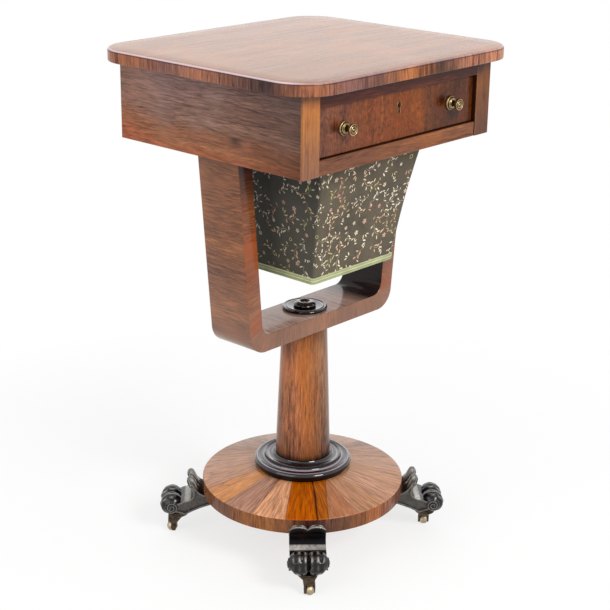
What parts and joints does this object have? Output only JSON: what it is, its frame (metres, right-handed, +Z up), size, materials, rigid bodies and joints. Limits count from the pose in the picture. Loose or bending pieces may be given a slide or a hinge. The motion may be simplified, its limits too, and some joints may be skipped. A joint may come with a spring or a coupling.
{
  "type": "knitting table",
  "caption": "Veneered work table with a lockable drawer over a sliding, tapered cloth bag, on a U-shaped yoke, turned column, round platform and carved scroll feet with castors.",
  "frame": {"origin": "on the floor under the column's axis, which is also the middle of the top", "axes": "+Z up, -Y out of the drawer's front, +X to the right seen from the front"},
  "size_m": [0.441, 0.391, 0.737],
  "materials": {
    "rosewood": "French-polished rosewood veneer, red-brown with dark streaks",
    "rosewood_light": "paler French-polished rosewood veneer",
    "ebonised": "black stained and polished wood",
    "carcass_wood": "plain, unpolished carcass wood",
    "brass": "old brass, dulled in the hollows",
    "iron": "plain iron",
    "bag_cloth": "printed cotton on stiff board, small pale sprigs on olive brown",
    "bag_board": "plain board",
    "braid": "woven braid, pale green"
  },
  "bodies": {
    "table": {"table_top": "rosewood", "side_panel_left": "rosewood", "side_panel_right": "rosewood", "back_panel": "rosewood", "top_rail": "rosewood", "yoke_upright_left": "rosewood", "yoke_upright_right": "rosewood", "yoke_knee_left": "rosewood", "yoke_knee_right": "rosewood", "yoke_cross_rail": "rosewood", "column": "rosewood", "platform": "rosewood", "front_stile_left": "rosewood_light", "front_stile_right": "rosewood_light", "column_cap": "ebonised", "column_collar": "ebonised", "foot_front_left": "ebonised", "foot_front_right": "ebonised", "foot_back_right": "ebonised", "foot_back_left": "ebonised", "bearer_left": "carcass_wood", "bearer_right": "carcass_wood", "kicker_left": "carcass_wood", "kicker_right": "carcass_wood", "castor_plate_front_left": "brass", "castor_plate_front_right": "brass", "castor_plate_back_right": "brass", "castor_plate_back_left": "brass"},
    "drawer": {"drawer_front": "rosewood", "drawer_side_left": "carcass_wood", "drawer_side_right": "carcass_wood", "drawer_back": "carcass_wood", "drawer_bottom": "carcass_wood", "knob_left": "brass", "knob_right": "brass", "keyhole_escutcheon": "brass", "lock_case": "brass"},
    "lock_bolt": {"lock_bolt": "iron"},
    "work_bag": {"bag_frame_front": "rosewood", "bag_frame_side_left": "carcass_wood", "bag_frame_side_right": "carcass_wood", "bag_frame_back": "carcass_wood", "bag_wall_front": "bag_cloth", "bag_wall_back": "bag_cloth", "bag_wall_left": "bag_cloth", "bag_wall_right": "bag_cloth", "bag_base": "bag_board", "bag_braid": "braid"},
    "castor_front_left": {"castor_horn_front_left": "brass", "castor_axle_front_left": "iron"},
    "wheel_front_left": {"castor_wheel_front_left": "brass"},
    "castor_front_right": {"castor_horn_front_right": "brass", "castor_axle_front_right": "iron"},
    "wheel_front_right": {"castor_wheel_front_right": "brass"},
    "castor_back_right": {"castor_horn_back_right": "brass", "castor_axle_back_right": "iron"},
    "wheel_back_right": {"castor_wheel_back_right": "brass"},
    "castor_back_left": {"castor_horn_back_left": "brass", "castor_axle_back_left": "iron"},
    "wheel_back_left": {"castor_wheel_back_left": "brass"}
  },
  "joints": [
    {"name": "drawer_slide", "type": "slide", "parent": "table", "child": "drawer", "axis": [0, -1, 0], "range_m": [0, 0.22]},
    {"name": "bag_slide", "type": "slide", "parent": "table", "child": "work_bag", "axis": [0, -1, 0], "range_m": [0, 0.2]},
    {"name": "lock_bolt_throw", "type": "slide", "parent": "drawer", "child": "lock_bolt", "axis": [0, 0, 1], "range_m": [0, 0.007]},
    {"name": "castor_swivel_front_left", "type": "hinge", "parent": "table", "child": "castor_front_left", "pos_m": [-0.13294, -0.13294, 0.03], "axis": [0, 0, 1], "continuous": true},
    {"name": "castor_roll_front_left", "type": "hinge", "parent": "castor_front_left", "child": "wheel_front_left", "pos_m": [-0.13838, -0.14132, 0.0079], "axis": [0.8387, -0.5446, 0], "continuous": true},
    {"name": "castor_swivel_front_right", "type": "hinge", "parent": "table", "child": "castor_front_right", "pos_m": [0.13294, -0.13294, 0.03], "axis": [0, 0, 1], "continuous": true},
    {"name": "castor_roll_front_right", "type": "hinge", "parent": "castor_front_right", "child": "wheel_front_right", "pos_m": [0.14013, -0.12599, 0.0079], "axis": [-0.6947, 0.7193, 0], "continuous": true},
    {"name": "castor_swivel_back_right", "type": "hinge", "parent": "table", "child": "castor_back_right", "pos_m": [0.13294, 0.13294, 0.03], "axis": [0, 0, 1], "continuous": true},
    {"name": "castor_roll_back_right", "type": "hinge", "parent": "castor_back_right", "child": "wheel_back_right", "pos_m": [0.13552, 0.14259, 0.0079], "axis": [-0.9659, 0.2588, 0], "continuous": true},
    {"name": "castor_swivel_back_left", "type": "hinge", "parent": "table", "child": "castor_back_left", "pos_m": [-0.13294, 0.13294, 0.03], "axis": [0, 0, 1], "continuous": true},
    {"name": "castor_roll_back_left", "type": "hinge", "parent": "castor_back_left", "child": "wheel_back_left", "pos_m": [-0.14239, 0.13619, 0.0079], "axis": [-0.3256, -0.9455, 0], "continuous": true}
  ]
}
